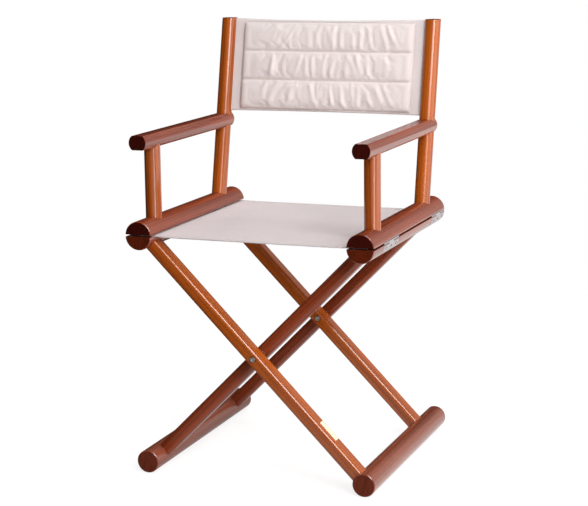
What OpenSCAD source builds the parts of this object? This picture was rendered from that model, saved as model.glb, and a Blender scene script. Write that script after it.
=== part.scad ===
// Folding armchair: two arm frames over a pair of crossed leg frames, with a canvas seat and back.
// Z is up, X is across the seat, and the chair faces -Y. The floor is at Z = 0.

/* [Overall size] */
// Height to the top of the back posts
overall_h = 880; // [880:1:1060]
// Depth from the front of the seat rails to the back of the floor rails
overall_depth = 504; // [400:1:620]
// Distance between the left and right rails, centre to centre
rail_spacing = 455; // [380:1:560]
// Height of the saw cut between the two halves of a seat rail
split_h = 484.5; // [400:0.5:560]
// Height of the top of the armrests
arm_top = 679; // [600:1:760]

/* [Rails] */
// Diameter of the dowel that the seat rails are split from
seat_rail_d = 55; // [40:1:70]
// Length of the seat rails
seat_rail_len = 472; // [380:1:560]
// Gap between the upper and the lower half of a seat rail
seat_gap = 4.5; // [3:0.5:8]
// Wood lost to the saw along the split
saw_kerf = 3; // [1:0.5:6]
// Diameter of the floor rails
floor_rail_d = 46; // [34:1:60]
// Length of the floor rails
floor_rail_len = 490; // [380:1:580]
// Bevel on the rim of every rail end
end_bevel = 1.5; // [0.5:0.5:4]

/* [Legs] */
// Width of a leg, across the seat
leg_w = 28; // [20:1:40]
// Thickness of a leg, front to back
leg_t = 34; // [22:1:44]
// Rounding of the long edges of a leg
leg_round = 9; // [2:1:10]
// Front face of the first leg, behind the front of the seat rails
leg_inset = 19.5; // [10:0.5:60]
// Front pair of legs to the back pair
leg_pitch = 366; // [260:1:420]
// Room between two crossing legs
leg_play = 3; // [1:0.5:6]
// How far the legs run under the line through the rail centres
leg_drop = 3; // [0:0.5:6]
// Diameter of the round tenons on the leg ends
leg_tenon_d = 16; // [10:1:22]

/* [Posts and armrests] */
// Diameter of the posts
post_d = 32; // [24:1:40]
// Front post centre, behind the front of the seat rails
front_post_inset = 74; // [40:1:120]
// Back post centre at the seat rail, ahead of the back of the seat rails
back_post_inset = 78; // [40:1:140]
// Lean of the back posts
back_lean = 11.8; // [0:0.1:20]
// Diameter of the round tenons on the posts
post_tenon_d = 18; // [12:1:24]
// Length of the round tenons on the posts
post_tenon_len = 16; // [8:1:20]
// Width of the armrests
arm_w = 36; // [28:1:60]
// Height of the armrests between their flats
arm_h = 28; // [18:1:40]
// Front end of the armrests, behind the front of the seat rails
arm_inset = 8; // [0:1:40]
// Diameter of the steel stud through the armrest
stud_d = 8; // [6:1:12]
// How far the stud goes into each post
stud_grip = 40; // [20:1:60]

/* [Pivots] */
// Diameter of the pivot bolts
bolt_d = 8; // [6:0.5:12]
// Diameter of the bolt heads and cap nuts
bolt_head_d = 12; // [10:0.5:20]
// Height of the bolt heads
bolt_head_h = 3; // [2:0.5:6]
// Width across the socket in a bolt head
socket_w = 5; // [3:0.5:8]
// Diameter of the flat cut for a head or a cap nut
spot_d = 16; // [13:0.5:24]
// Depth of that flat
spot_depth = 2; // [1:0.5:5]
// Outside diameter of the washers between the legs
washer_d = 24; // [16:1:28]

/* [Rail hinges] */
// Length of a hinge
hinge_len = 90; // [50:1:120]
// Front hinge, behind the front of the seat rails
front_hinge_inset = 62; // [20:1:100]
// Back hinge, ahead of the back of the seat rails
back_hinge_inset = 2; // [2:1:60]
// Diameter of the hinge barrels
barrel_d = 5; // [4:0.5:8]
// Diameter of the hinge pins
hinge_pin_d = 2.4; // [1.5:0.1:4]
// Thickness of the hinge leaves
leaf_t = 1.5; // [1:0.25:3]
// Height of the leaf on the lower half rail
lower_leaf_h = 14; // [8:1:18]
// Width of the leaf under the upper half rail
upper_leaf_w = 13; // [8:1:16]
// Diameter of the hinge screws
screw_d = 3; // [2:0.5:4]
// Length of the hinge screws
screw_len = 11; // [6:1:14]

/* [Canvas] */
// Thickness of the canvas
canvas_t = 1.2; // [0.8:0.1:2]
// Diameter of the rods in the seat edges
seat_rod_d = 5; // [3:0.5:6]
// Diameter of the rods in the back edges
back_rod_d = 4; // [3:0.5:5]
// Seat canvas, behind the front of the seat rails
seat_inset = 16; // [4:1:40]
// Height of the back canvas, measured along the posts
back_canvas_h = 202; // [120:1:260]
// Width of the padded panel
pad_w = 380; // [260:1:400]
// Height of the padded panel
pad_h = 184; // [100:1:200]
// Thickness of the padded panel
pad_t = 14; // [6:1:20]
// Number of channels across the padded panel
pad_channels = 3; // [1:1:5]

/* [Plate] */
// Length of the blank plate on the front leg
plate_len = 46; // [20:1:60]
// Width of the blank plate
plate_w = 15; // [6:1:16]
// Height of the middle of the plate above the floor
plate_h = 108; // [80:1:200]

/* [Fits] */
// Room all round a glued joint
glue_gap = 0.05; // [0.02:0.01:0.1]
// Room all round a bolt or a pin that turns
running_gap = 0.06; // [0.02:0.01:0.1]
// Room between a part and the seat it rests on
seat_room = 0.2; // [0.1:0.05:0.4]

/* [Show] */
// The part to draw

/* [Hidden] */
$fn = 96;
front_y = -overall_depth / 2;
seat_mid_y = front_y + seat_rail_len / 2;
seat_back_y = front_y + seat_rail_len;
floor_mid_y = overall_depth / 2 - floor_rail_len / 2;
rail_x = rail_spacing / 2;
seat_r = seat_rail_d / 2;
floor_r = floor_rail_d / 2;
half_rail_h = seat_r - saw_kerf / 2;
lower_centre = split_h - seat_gap / 2 + saw_kerf / 2;
upper_centre = split_h + seat_gap / 2 - saw_kerf / 2;
leg_rise = lower_centre - floor_r;
leg_angle = atan(rail_spacing / leg_rise);
leg_line = sqrt(pow(rail_spacing, 2) + pow(leg_rise, 2));
pivot_h = (lower_centre + floor_r) / 2 - leg_drop;
leg_a_y = front_y + leg_inset + leg_t / 2;
leg_b_y = leg_a_y + leg_t + leg_play;
tenon_stop = seat_r / 2;
arm_mid = arm_top - arm_h / 2;
arm_front_y = front_y + arm_inset;
post_y = front_y + front_post_inset;
back_base_y = seat_back_y - back_post_inset;
function back_y(z) = back_base_y + (z - split_h) * tan(back_lean);
arm_back_y = back_y(arm_mid) + post_d / 2 / cos(back_lean);
hinge_x = seat_r - 2.3;
screw_x = hinge_x - upper_leaf_w / 2 - 2;
lower_screw_turn = 20;
barrel_len = hinge_len / 3;
bridge_h = 4.5;
relief_r = barrel_d / 2 + 0.4;
seat_key_r = seat_rod_d / 2 + canvas_t + 0.5;
seat_key_x = 8;
seat_key_z = lower_centre - saw_kerf / 2 - seat_key_r - 1.2;
back_key_r = back_rod_d / 2 + canvas_t + 0.45;
back_key_x = post_d / 2 - back_key_r - 2;
slot_w = canvas_t + 1.4;
key_len = seat_rail_len - seat_inset + 4;
seat_plane = split_h - seat_gap / 2 + 0.3;
post_len = (overall_h - split_h) / cos(back_lean);
cloth_top = post_len - 1;

// ---- colours ----

module teak() { color([0.60, 0.30, 0.13]) children(); }
module steel() { color([0.78, 0.78, 0.80]) children(); }
module dark_steel() { color([0.45, 0.42, 0.40]) children(); }
module canvas() { color([0.87, 0.83, 0.81]) children(); }

// ---- shared shapes ----

// Puts a part of the right-hand side in its place; side = -1 mirrors it to the left.
module on_side(side) {
    if (side > 0) children();
    else mirror([1, 0, 0]) children();
}

// A cylinder along Y with bevelled rims, centred on its length.
module dowel(d, length, bevel = end_bevel) {
    r = d / 2;
    rotate([90, 0, 0])
    rotate_extrude()
    polygon([
        [0, -length / 2], [r - bevel, -length / 2], [r, -length / 2 + bevel],
        [r, length / 2 - bevel], [r - bevel, length / 2], [0, length / 2]
    ]);
}

// Draws its children once for each hinge of a rail, with the middle of the hinge at the origin.
module at_hinges() {
    translate([0, front_y + front_hinge_inset + hinge_len / 2, 0]) children();
    translate([0, seat_back_y - back_hinge_inset - hinge_len / 2, 0]) children();
}

// Draws its children at the three screw places of a hinge.
module at_screws() {
    for (i = [-1, 0, 1]) translate([0, i * hinge_len / 3, 0]) children();
}

// A cylinder along Y, centred on its length.
module rod(d, length) {
    rotate([90, 0, 0]) cylinder(d = d, h = length, center = true);
}

// A round bar whose top and bottom are flattened, running along Y from y = 0.
module flattened_bar(w, h, length) {
    rotate([90, 0, 0]) translate([0, 0, -length])
    linear_extrude(length)
    intersection() {
        circle(d = w);
        square([w, h], center = true);
    }
}

// The leaning line of a right-hand back post: Z runs up the post from the split of the seat rail.
module on_back_post() {
    translate([rail_x, back_base_y, split_h]) rotate([-back_lean, 0, 0]) children();
}

// The line of a leg: Z runs up the leg, and the pivot is at the origin. lean = 1 tops out on the
// right.
module on_leg(lean, y) {
    translate([0, y, pivot_h]) rotate([0, lean * leg_angle, 0]) children();
}

// ---- seat rails ----

module hinge_relief() {
    translate([hinge_x, 0, 0]) rod(2 * relief_r, hinge_len + 1);
}

module upper_rail() {
    difference() {
        translate([rail_x, seat_mid_y, upper_centre]) intersection() {
            dowel(seat_rail_d, seat_rail_len);
            translate([-seat_r, -seat_rail_len / 2, saw_kerf / 2])
            cube([seat_rail_d, seat_rail_len, seat_r]);
        }
        translate([rail_x, post_y, upper_centre + seat_r - post_tenon_len - 0.5])
        cylinder(d = post_tenon_d + 2 * glue_gap, h = post_tenon_len + 1);
        on_back_post() translate([0, 0, seat_gap / 2 + half_rail_h - post_tenon_len - 0.5])
        cylinder(d = post_tenon_d + 2 * glue_gap, h = post_tenon_len + 4);
        translate([rail_x, 0, split_h]) at_hinges() {
            hinge_relief();
            translate([hinge_x - upper_leaf_w - 0.3, -hinge_len / 2 - 0.3, seat_gap / 2 - 0.1])
            cube([upper_leaf_w + 6, hinge_len + 0.6, 0.85]);
            at_screws() translate([screw_x, 0, 0])
            cylinder(d = screw_d + 2 * glue_gap, h = screw_len + 2);
        }
    }
}

// The legs of one frame top out on one side, so leg_y is where they meet this rail.
module lower_rail(leg_y) {
    difference() {
        translate([rail_x, seat_mid_y, lower_centre]) intersection() {
            dowel(seat_rail_d, seat_rail_len);
            translate([-seat_r, -seat_rail_len / 2, -seat_r - saw_kerf / 2])
            cube([seat_rail_d, seat_rail_len, seat_r]);
        }
        // Channel for the seat rod, with its slot up to the flat, open at the back end only.
        translate([rail_x + seat_key_x, seat_back_y + 1 - key_len / 2, seat_key_z])
        rod(2 * seat_key_r, key_len);
        translate([rail_x + seat_key_x - slot_w / 2, seat_back_y + 1 - key_len, seat_key_z])
        cube([slot_w, key_len, seat_rail_d / 2]);
        for (y = [leg_y, leg_y + leg_pitch]) lower_mortise(y);
        translate([rail_x, 0, split_h]) at_hinges() {
            hinge_relief();
            translate([hinge_x + 0.25, -barrel_len / 2 + 0.15, -bridge_h - 0.15])
            cube([barrel_d, barrel_len - 0.3, bridge_h]);
        }
        translate([rail_x, 0, lower_centre]) at_hinges() {
            lower_leaf_shape(0.15, hinge_len + 0.3);
            at_screws() rotate([0, lower_screw_turn, 0]) translate([seat_r - screw_len - 0.4, 0, 0])
            rotate([0, 90, 0]) cylinder(d = screw_d + 2 * glue_gap, h = screw_len + 2);
        }
    }
}

module lower_mortise(y) {
    on_leg(1, y) translate([0, 0, leg_line / 2 - seat_r - 1])
    cylinder(d = leg_tenon_d + 2 * glue_gap, h = seat_r - tenon_stop + 1.5);
}

module floor_rail(leg_y) {
    difference() {
        translate([rail_x, floor_mid_y, floor_r]) dowel(floor_rail_d, floor_rail_len);
        for (y = [leg_y, leg_y + leg_pitch])
        on_leg(-1, y) translate([0, 0, -leg_line / 2 + tenon_stop - 4.5])
        cylinder(d = leg_tenon_d + 2 * glue_gap, h = floor_r);
    }
}

// ---- hinges ----

// The curved leaf on the outside of the lower half rail, around the axis of that half.
module lower_leaf_shape(room, length) {
    rotate([90, 0, 0]) translate([0, 0, -length / 2])
    linear_extrude(length)
    intersection() {
        difference() {
            circle(r = seat_r + 0.3 + (room > 0 ? 3 : 0));
            circle(r = seat_r + 0.3 - leaf_t - room);
        }
        translate([0, -lower_leaf_h - 3.4 - room]) square([seat_r + 5, lower_leaf_h + room * 2]);
    }
}

module lower_hinge_leaf() {
    difference() {
        union() {
            translate([0, 0, lower_centre - split_h]) lower_leaf_shape(0, hinge_len);
            translate([hinge_x, 0, 0]) rod(barrel_d, barrel_len - 0.6);
            translate([hinge_x + 0.4, -barrel_len / 2 + 0.3, -bridge_h])
            cube([leaf_t + 0.4, barrel_len - 0.6, bridge_h - 0.2]);
        }
        translate([hinge_x, 0, 0]) rod(hinge_pin_d + 2 * running_gap, hinge_len + 2);
        translate([0, 0, lower_centre - split_h])
        at_screws() rotate([0, lower_screw_turn, 0]) translate([seat_r - screw_len, 0, 0])
        rotate([0, 90, 0]) cylinder(d = screw_d + 2 * glue_gap, h = screw_len + 2);
    }
}

module upper_hinge_leaf() {
    difference() {
        union() {
            for (i = [-1, 1]) translate([hinge_x, i * (hinge_len - barrel_len) / 2, 0]) {
                rod(barrel_d, barrel_len);
                translate([-barrel_d / 2 - 2, -barrel_len / 2, seat_gap / 2 - 0.85])
                cube([barrel_d / 2 + 2, barrel_len, leaf_t]);
            }
            translate([hinge_x - upper_leaf_w, -hinge_len / 2, seat_gap / 2 - 0.85])
            cube([upper_leaf_w - barrel_d / 2 - 0.4, hinge_len, leaf_t]);
        }
        translate([hinge_x, 0, 0]) rod(hinge_pin_d + 2 * running_gap, hinge_len + 2);
        at_screws() translate([screw_x, 0, 0])
        cylinder(d = screw_d + 2 * glue_gap, h = screw_len + 2);
    }
}

module screw() {
    difference() {
        union() {
            translate([0, 0, -screw_len]) cylinder(d = screw_d, h = screw_len);
            cylinder(d1 = screw_d * 1.9, d2 = screw_d * 1.7, h = 0.8);
        }
        translate([0, 0, 0.5]) cube([screw_d * 2, 0.8, 0.8], center = true);
    }
}

module upper_screws() {
    translate([rail_x, 0, split_h]) at_hinges() at_screws()
    translate([screw_x, 0, seat_gap / 2 - 0.85 - 0.05]) rotate([180, 0, 0]) screw();
}

module lower_screws() {
    translate([rail_x, 0, lower_centre]) at_hinges() at_screws()
    rotate([0, lower_screw_turn, 0]) translate([seat_r + 0.35, 0, 0]) rotate([0, 90, 0]) screw();
}

module hinge_pins() {
    translate([rail_x + hinge_x, 0, split_h]) at_hinges() rod(hinge_pin_d, hinge_len - 1);
}

// ---- posts and armrests ----

module rail_cope() {
    translate([rail_x, seat_mid_y, upper_centre]) rod(seat_rail_d + 2 * glue_gap, seat_rail_len * 2);
}

module arm_cope() {
    translate([rail_x, -overall_depth, arm_mid])
    flattened_bar(arm_w + 2 * glue_gap, arm_h + 2 * glue_gap, overall_depth * 2);
}

module front_post() {
    difference() {
        translate([rail_x, post_y, split_h]) cylinder(d = post_d, h = arm_mid - split_h);
        rail_cope();
        arm_cope();
    }
    translate([rail_x, post_y, upper_centre + seat_r - post_tenon_len])
    cylinder(d = post_tenon_d, h = post_tenon_len + 4);
    translate([rail_x, post_y, arm_mid - arm_h / 2 - 4])
    cylinder(d = post_tenon_d, h = post_tenon_len + 4);
}

module back_post() {
    difference() {
        union() {
            difference() {
                on_back_post() cylinder(d = post_d, h = (arm_mid - split_h) / cos(back_lean));
                rail_cope();
                arm_cope();
            }
            on_back_post() translate([0, 0, seat_gap / 2 + half_rail_h - post_tenon_len])
            cylinder(d = post_tenon_d, h = post_tenon_len + 6);
        }
        stud_bore();
    }
}

module stud_bore() {
    on_back_post() translate([0, 0, stud_from() - 1])
    cylinder(d = stud_d + 2 * glue_gap, h = stud_length() + 2);
}

function stud_from() = (arm_mid - arm_h / 2 - split_h) / cos(back_lean) - stud_grip;
function stud_length() = arm_h / cos(back_lean) + 2 * stud_grip;

module back_post_top() {
    difference() {
        on_back_post() translate([0, 0, (arm_mid - split_h) / cos(back_lean)])
        cylinder(d = post_d, h = (overall_h - arm_mid) / cos(back_lean) + post_d);
        translate([0, 0, overall_h]) cylinder(d = overall_depth * 3, h = post_d * 2);
        arm_cope();
        stud_bore();
        // Channel for the back rod, open at the top, with its slot on the inside of the post.
        on_back_post() translate([-back_key_x, 0, (arm_top - split_h) / cos(back_lean) - 4]) {
            cylinder(r = back_key_r, h = post_len);
            translate([-post_d / 2, -slot_w / 2, 0]) cube([post_d / 2, slot_w, post_len]);
        }
    }
}

module armrest() {
    difference() {
        translate([rail_x, arm_front_y, arm_mid])
        flattened_bar(arm_w, arm_h, arm_back_y - arm_front_y);
        translate([rail_x, post_y, arm_mid - arm_h / 2 - 1])
        cylinder(d = post_tenon_d + 2 * glue_gap, h = post_tenon_len + 1.5);
        stud_bore();
    }
}

module arm_stud() {
    on_back_post() translate([0, 0, stud_from()]) cylinder(d = stud_d, h = stud_length());
}

// ---- legs ----

module leg_section() {
    offset_x = leg_w / 2 - leg_round;
    offset_y = leg_t / 2 - leg_round;
    square([leg_w, 2 * offset_y], center = true);
    square([2 * offset_x, leg_t], center = true);
    for (x = [-offset_x, offset_x], y = [-offset_y, offset_y]) translate([x, y]) circle(r = leg_round);
}

// A leg that tops out on the right. spot_side = -1 has the flat in front, for a bolt head, and 1
// has it behind, for a cap nut.
module leg(y, spot_side) {
    difference() {
        union() {
            difference() {
                on_leg(1, y) translate([0, 0, -leg_line / 2])
                linear_extrude(leg_line) leg_section();
                translate([rail_x, seat_mid_y, lower_centre])
                rod(seat_rail_d + 2 * glue_gap, seat_rail_len * 2);
                translate([rail_x - seat_r - 10, y - leg_t, split_h - seat_gap / 2])
                cube([2 * seat_rail_d, leg_t * 2, 2 * seat_r]);
                translate([-rail_x, floor_mid_y, floor_r])
                rod(floor_rail_d + 2 * glue_gap, floor_rail_len * 2);
                translate([-rail_x - 2 * floor_r, y - leg_t, -2 * floor_r])
                cube([4 * floor_r, leg_t * 2, 2.5 * floor_r]);
            }
            on_leg(1, y) translate([0, 0, leg_line / 2 - seat_r - 4])
            cylinder(d = leg_tenon_d, h = seat_r - tenon_stop + 4);
            on_leg(1, y) translate([0, 0, -leg_line / 2 + tenon_stop - 4])
            cylinder(d = leg_tenon_d, h = floor_r + 4 - tenon_stop + 4);
        }
        translate([0, y, pivot_h]) rod(bolt_d + 2 * running_gap, leg_t + 2);
        translate([0, y + spot_side * (leg_t / 2 - spot_depth / 2 + 0.5), pivot_h])
        rod(spot_d, spot_depth + 1);
    }
}

module leg_a(y) { mirror([1, 0, 0]) leg(y, -1); }
module leg_b(y) { leg(y, 1); }

// ---- pivots ----

// Draws its children at both pivots, with the play between the legs at the origin.
module at_pivots() {
    for (y = [0, leg_pitch]) translate([0, (leg_a_y + leg_b_y) / 2 + y, pivot_h]) children();
}

module pivot_bolt() {
    seat_y = -leg_play / 2 - leg_t + spot_depth - seat_room / 2;
    tip_y = leg_play / 2 + leg_t - 0.5;
    difference() {
        union() {
            translate([0, (seat_y + tip_y) / 2, 0]) rod(bolt_d, tip_y - seat_y);
            translate([0, seat_y, 0]) rotate([90, 0, 0])
            cylinder(d1 = bolt_head_d, d2 = bolt_head_d - 2, h = bolt_head_h);
        }
        translate([0, seat_y - bolt_head_h, 0]) rotate([90, 0, 0])
        cylinder(d = socket_w / cos(30), h = 4, center = true, $fn = 6);
    }
}

module pivot_washer() {
    difference() {
        rod(washer_d, leg_play - 2 * seat_room);
        rod(bolt_d + 2 * running_gap, leg_play + 2);
    }
}

module pivot_nut() {
    seat_y = leg_play / 2 + leg_t - spot_depth + seat_room;
    difference() {
        translate([0, seat_y, 0]) rotate([-90, 0, 0]) {
            cylinder(d = bolt_head_d, h = bolt_head_h - 1);
            translate([0, 0, bolt_head_h - 1]) cylinder(d1 = bolt_head_d, d2 = bolt_head_d - 2, h = 1);
        }
        translate([0, seat_y - 1, 0]) rotate([-90, 0, 0])
        cylinder(d = bolt_d + 2 * glue_gap, h = spot_depth + 0.6);
    }
}

// ---- canvas ----

module seat_edge() {
    translate([rail_x + seat_key_x, seat_key_z]) difference() {
        circle(r = seat_rod_d / 2 + canvas_t + 0.05);
        circle(r = seat_rod_d / 2 + 0.05);
    }
    translate([rail_x + seat_key_x - canvas_t / 2, seat_key_z + seat_rod_d / 2 + 0.3])
    square([canvas_t, seat_plane + canvas_t - seat_key_z - seat_rod_d / 2 - 0.3]);
    translate([-1, seat_plane]) square([rail_x + seat_key_x + 1 + canvas_t / 2, canvas_t]);
}

module seat_cloth() {
    length = seat_rail_len - seat_inset - 2;
    rotate([90, 0, 0]) translate([0, 0, -front_y - seat_inset - length])
    linear_extrude(length) {
        seat_edge();
        mirror([1, 0]) seat_edge();
    }
}

// Places a plan of the back canvas on the posts, from its lower edge up.
module on_back(height) {
    translate([0, back_base_y, split_h]) rotate([-back_lean, 0, 0])
    translate([0, 0, cloth_top - height]) linear_extrude(height) children();
}

module back_edge() {
    translate([rail_x - back_key_x, 0]) difference() {
        circle(r = back_rod_d / 2 + canvas_t + 0.05);
        circle(r = back_rod_d / 2 + 0.05);
    }
    translate([-1, -canvas_t / 2]) square([rail_x - back_key_x - back_rod_d / 2 - 0.3 + 1, canvas_t]);
}

module back_cloth() {
    on_back(back_canvas_h - 3.5) {
        back_edge();
        mirror([1, 0]) back_edge();
    }
}

module back_padding() {
    channel = pad_h / pad_channels;
    top = post_len - 10;
    translate([0, back_base_y, split_h]) rotate([-back_lean, 0, 0])
    translate([0, -canvas_t / 2 - 0.3, top - pad_h])
    for (i = [0 : pad_channels - 1]) translate([-pad_w / 2, 0, (i + 0.5) * channel])
    rotate([0, 90, 0]) linear_extrude(pad_w)
    intersection() {
        scale([channel / 2 / pad_t + 0.03, 1]) circle(r = pad_t);
        translate([-channel / 2 - 0.1, -pad_t]) square([channel + 0.2, pad_t]);
    }
}

module rod_in_back() {
    on_back_post() translate([-back_key_x, 0, cloth_top - back_canvas_h + 4])
    cylinder(d = back_rod_d, h = back_canvas_h - 4.5);
}

module rod_in_seat() {
    translate([rail_x + seat_key_x, seat_mid_y + (seat_inset - 2) / 2, seat_key_z])
    rod(seat_rod_d, seat_rail_len - seat_inset - 2);
}

// ---- plate ----

module blank_plate() {
    along = (pivot_h - plate_h) / cos(leg_angle);
    on_leg(-1, leg_a_y) translate([leg_w / 2 + seat_room / 2, -plate_w / 2, -along - plate_len / 2])
    cube([0.8, plate_w, plate_len]);
}

// ---- nodes ----

module upper_leaves() { translate([rail_x, 0, split_h]) at_hinges() upper_hinge_leaf(); }
module lower_leaves() { translate([rail_x, 0, split_h]) at_hinges() lower_hinge_leaf(); }

module upper_rail_left() { teak() on_side(-1) upper_rail(); }
module upper_rail_right() { teak() on_side(1) upper_rail(); }
module lower_rail_left() { teak() on_side(-1) lower_rail(leg_a_y); }
module lower_rail_right() { teak() on_side(1) lower_rail(leg_b_y); }
module floor_rail_left() { teak() on_side(-1) floor_rail(leg_b_y); }
module floor_rail_right() { teak() on_side(1) floor_rail(leg_a_y); }
module front_post_left() { teak() on_side(-1) front_post(); }
module front_post_right() { teak() on_side(1) front_post(); }
module back_post_left() { teak() on_side(-1) back_post(); }
module back_post_right() { teak() on_side(1) back_post(); }
module back_post_top_left() { teak() on_side(-1) back_post_top(); }
module back_post_top_right() { teak() on_side(1) back_post_top(); }
module armrest_left() { teak() on_side(-1) armrest(); }
module armrest_right() { teak() on_side(1) armrest(); }
module leg_a_front() { teak() leg_a(leg_a_y); }
module leg_a_back() { teak() leg_a(leg_a_y + leg_pitch); }
module leg_b_front() { teak() leg_b(leg_b_y); }
module leg_b_back() { teak() leg_b(leg_b_y + leg_pitch); }
module arm_stud_left() { steel() on_side(-1) arm_stud(); }
module arm_stud_right() { steel() on_side(1) arm_stud(); }
module upper_hinge_leaves_left() { steel() on_side(-1) upper_leaves(); }
module upper_hinge_leaves_right() { steel() on_side(1) upper_leaves(); }
module lower_hinge_leaves_left() { steel() on_side(-1) lower_leaves(); }
module lower_hinge_leaves_right() { steel() on_side(1) lower_leaves(); }
module upper_hinge_screws_left() { dark_steel() on_side(-1) upper_screws(); }
module upper_hinge_screws_right() { dark_steel() on_side(1) upper_screws(); }
module lower_hinge_screws_left() { dark_steel() on_side(-1) lower_screws(); }
module lower_hinge_screws_right() { dark_steel() on_side(1) lower_screws(); }
module hinge_pins_left() { dark_steel() on_side(-1) hinge_pins(); }
module hinge_pins_right() { dark_steel() on_side(1) hinge_pins(); }
module pivot_bolts() { dark_steel() at_pivots() pivot_bolt(); }
module pivot_washers() { steel() at_pivots() pivot_washer(); }
module pivot_nuts() { dark_steel() at_pivots() pivot_nut(); }
module leg_plate() { canvas() blank_plate(); }
module back_rod_left() { steel() on_side(-1) rod_in_back(); }
module back_rod_right() { steel() on_side(1) rod_in_back(); }
module seat_rod_left() { steel() on_side(-1) rod_in_seat(); }
module seat_rod_right() { steel() on_side(1) rod_in_seat(); }
module seat_canvas() { canvas() seat_cloth(); }
module back_canvas() { canvas() back_cloth(); }
module back_pad() { canvas() back_padding(); }

upper_rail_left();
front_post_left();
back_post_left();
back_post_top_left();
armrest_left();
arm_stud_left();
upper_hinge_leaves_left();
upper_hinge_screws_left();
back_rod_left();
upper_rail_right();
front_post_right();
back_post_right();
back_post_top_right();
armrest_right();
arm_stud_right();
upper_hinge_leaves_right();
upper_hinge_screws_right();
back_rod_right();
lower_rail_left();
leg_a_front();
leg_a_back();
floor_rail_right();
lower_hinge_leaves_left();
lower_hinge_screws_left();
hinge_pins_left();
pivot_bolts();
pivot_washers();
pivot_nuts();
leg_plate();
seat_rod_left();
lower_rail_right();
leg_b_front();
leg_b_back();
floor_rail_left();
lower_hinge_leaves_right();
lower_hinge_screws_right();
hinge_pins_right();
seat_rod_right();
seat_canvas();
back_canvas();
back_pad();
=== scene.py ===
"""Folding director's armchair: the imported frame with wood, metal and canvas finishes, and modelled soft goods."""
import math
import bpy
import numpy as np
from mathutils import Matrix, Vector

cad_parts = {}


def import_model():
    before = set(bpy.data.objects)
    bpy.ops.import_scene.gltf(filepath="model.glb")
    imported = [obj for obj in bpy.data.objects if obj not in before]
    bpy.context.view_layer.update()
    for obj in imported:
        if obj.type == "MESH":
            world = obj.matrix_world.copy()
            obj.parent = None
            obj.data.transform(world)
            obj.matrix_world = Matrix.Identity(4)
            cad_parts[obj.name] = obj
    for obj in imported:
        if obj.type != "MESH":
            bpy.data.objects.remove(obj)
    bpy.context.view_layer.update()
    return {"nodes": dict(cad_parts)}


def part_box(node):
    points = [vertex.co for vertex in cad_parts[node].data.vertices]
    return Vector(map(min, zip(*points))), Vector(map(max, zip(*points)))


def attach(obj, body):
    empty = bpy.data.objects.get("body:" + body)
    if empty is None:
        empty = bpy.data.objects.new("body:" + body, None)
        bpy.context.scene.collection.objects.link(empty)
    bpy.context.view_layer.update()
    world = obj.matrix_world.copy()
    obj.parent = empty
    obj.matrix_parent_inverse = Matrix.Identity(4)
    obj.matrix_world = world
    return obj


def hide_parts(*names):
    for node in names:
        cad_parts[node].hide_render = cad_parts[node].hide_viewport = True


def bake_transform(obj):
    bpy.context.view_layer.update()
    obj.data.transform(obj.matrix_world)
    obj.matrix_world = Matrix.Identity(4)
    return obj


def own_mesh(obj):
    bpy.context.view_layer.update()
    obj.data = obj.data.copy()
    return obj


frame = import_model()

# ---- sizes shared by the soft goods, in metres, as the frame has them ----

SPLIT_H = 0.4845                     # height of the gap in the seat rails
RAIL_X = 0.2275                      # rail centres, left and right
LEAN = math.radians(11.8)            # lean of the back posts
BACK_BASE = np.array([0.0, 0.142, SPLIT_H])    # where the back posts' middles cross that height
UP_POST = np.array([0.0, math.sin(LEAN), math.cos(LEAN)])
FORWARD = np.array([0.0, -math.cos(LEAN), math.sin(LEAN)])
POST_TOP = (0.880 - SPLIT_H) / math.cos(LEAN)  # top of the back posts, measured along them from the gap
LEG_TILT = math.atan2(2 * RAIL_X, 0.46075)     # legs against the vertical
SHEET_T = 0.0009                               # thickness of a modelled canvas
WEAVE_PITCH = 0.0011                           # from one thread to the next


def box_mid(node):
    """The middle of a node's box."""
    lo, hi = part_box(node)
    return (Vector(lo) + Vector(hi)) / 2


# ---- node helpers ----


class Tree:
    """A short way to write a node tree: every call makes one node and returns it."""

    def __init__(self, tree):
        self.tree = tree

    def node(self, kind, values=None, **settings):
        made = self.tree.nodes.new(kind)
        for name, value in settings.items():
            setattr(made, name, value)
        for name, value in (values or {}).items():
            self.feed(made.inputs[name], value)
        return made

    def feed(self, socket, value):
        if isinstance(value, bpy.types.NodeSocket):
            self.tree.links.new(value, socket)
        else:
            socket.default_value = value

    def math(self, operation, a, b=0.0, c=0.0, clamp=False):
        made = self.node("ShaderNodeMath", {0: a, 1: b, 2: c}, operation=operation)
        made.use_clamp = clamp
        return made.outputs[0]

    def vector(self, operation, a, b=(0, 0, 0)):
        made = self.node("ShaderNodeVectorMath", {0: a, 1: b}, operation=operation)
        return made.outputs["Value" if operation in ("DOT_PRODUCT", "LENGTH") else "Vector"]

    def noise(self, vector, scale, detail=2.0, rough=0.5):
        return self.node("ShaderNodeTexNoise", {
            "Vector": vector, "Scale": scale, "Detail": detail, "Roughness": rough}).outputs["Fac"]

    def mix(self, factor, a, b):
        made = self.node("ShaderNodeMix", data_type="RGBA", blend_type="MIX")
        self.feed(made.inputs[0], factor)
        self.feed(made.inputs[6], a)
        self.feed(made.inputs[7], b)
        return made.outputs[2]

    def bump(self, height, strength, distance):
        return self.node("ShaderNodeBump", {"Height": height, "Strength": strength, "Distance": distance}).outputs[0]


def empty_tree(owner):
    """The cleared node tree of a material or a world."""
    owner.use_nodes = True
    owner.node_tree.nodes.clear()
    return Tree(owner.node_tree)


def shader_group(name, inputs, outputs):
    """An empty shader node group with its sockets, its input node and its output node."""
    group = bpy.data.node_groups.new(name, "ShaderNodeTree")
    for label, kind, value in inputs:
        socket = group.interface.new_socket(label, in_out="INPUT", socket_type=kind)
        if value is not None:
            socket.default_value = value
    for label, kind in outputs:
        group.interface.new_socket(label, in_out="OUTPUT", socket_type=kind)
    t = Tree(group)
    return group, t, t.node("NodeGroupInput").outputs, t.node("NodeGroupOutput")


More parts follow.
